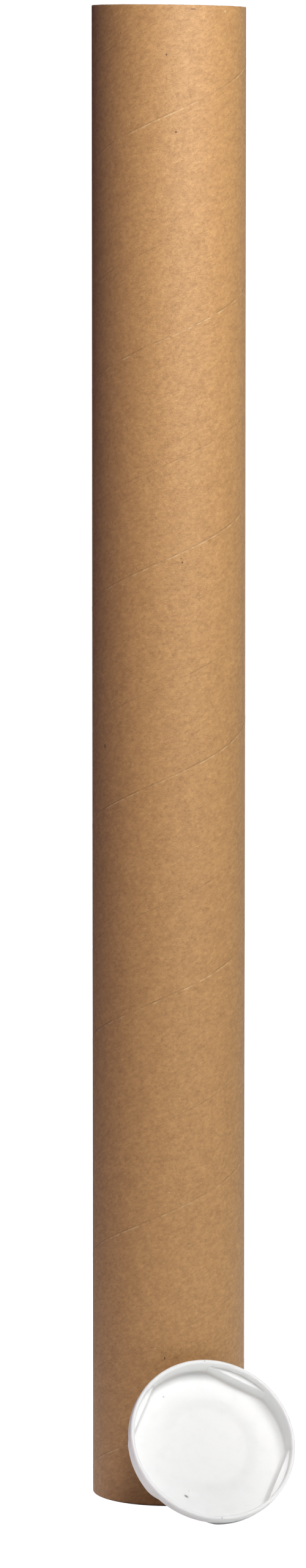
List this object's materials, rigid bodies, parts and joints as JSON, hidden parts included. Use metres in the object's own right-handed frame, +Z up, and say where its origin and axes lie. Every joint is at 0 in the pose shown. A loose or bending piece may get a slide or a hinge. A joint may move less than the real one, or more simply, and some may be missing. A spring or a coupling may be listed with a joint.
{
  "type": "cardboard mailing tube",
  "caption": "Spiral-wound cardboard mailing tube, open at both ends, with a loose shallow plastic end cap leaning on its foot.",
  "frame": {"origin": "centre of the tube's bottom end, on its axis", "axes": "+Z up along the tube's axis, -Y towards the side where the end cap leans"},
  "size_m": [0.105, 0.1348, 0.775],
  "materials": {
    "kraft_board": "matte brown kraft paper, spiral wound",
    "white_plastic": "satin white moulded polyethylene"
  },
  "bodies": {
    "root": {"tube": "kraft_board", "end_cap": "white_plastic"}
  },
  "joints": []
}
